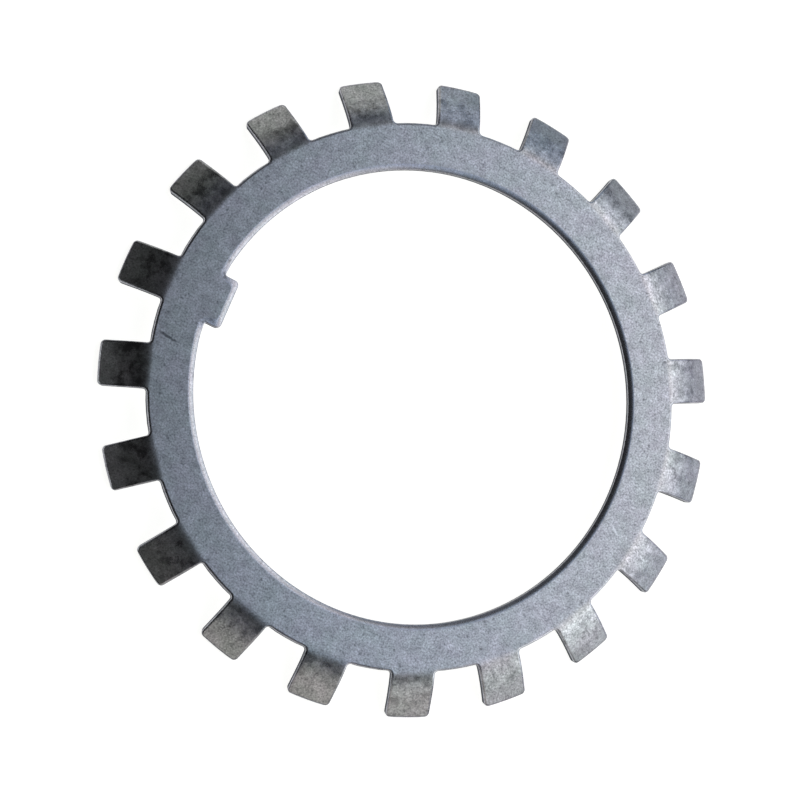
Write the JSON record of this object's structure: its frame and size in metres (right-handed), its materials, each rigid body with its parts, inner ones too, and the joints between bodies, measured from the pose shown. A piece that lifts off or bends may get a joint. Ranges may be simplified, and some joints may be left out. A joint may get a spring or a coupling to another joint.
{
  "type": "tab lock washer",
  "caption": "Flat sheet-steel ring with a key tab standing into its bore and evenly spaced outer tabs bent to one side, which locks a slotted nut on a shaft.",
  "frame": {"origin": "on the bore axis, in the plane of the flat bearing-side face", "axes": "+Z along the bore axis, out of the bearing-side face. The outer tabs bend towards -Z, the nut side. +X runs from the bore axis through the middle of the key tab, which points inwards, and through the outer tab in line with it."},
  "size_m": [0.1542, 0.1546, 0.0067],
  "materials": {
    "steel": "bare cold-rolled sheet, satin, faintly mottled"
  },
  "bodies": {
    "root": {"lock_washer": "steel"}
  },
  "joints": []
}
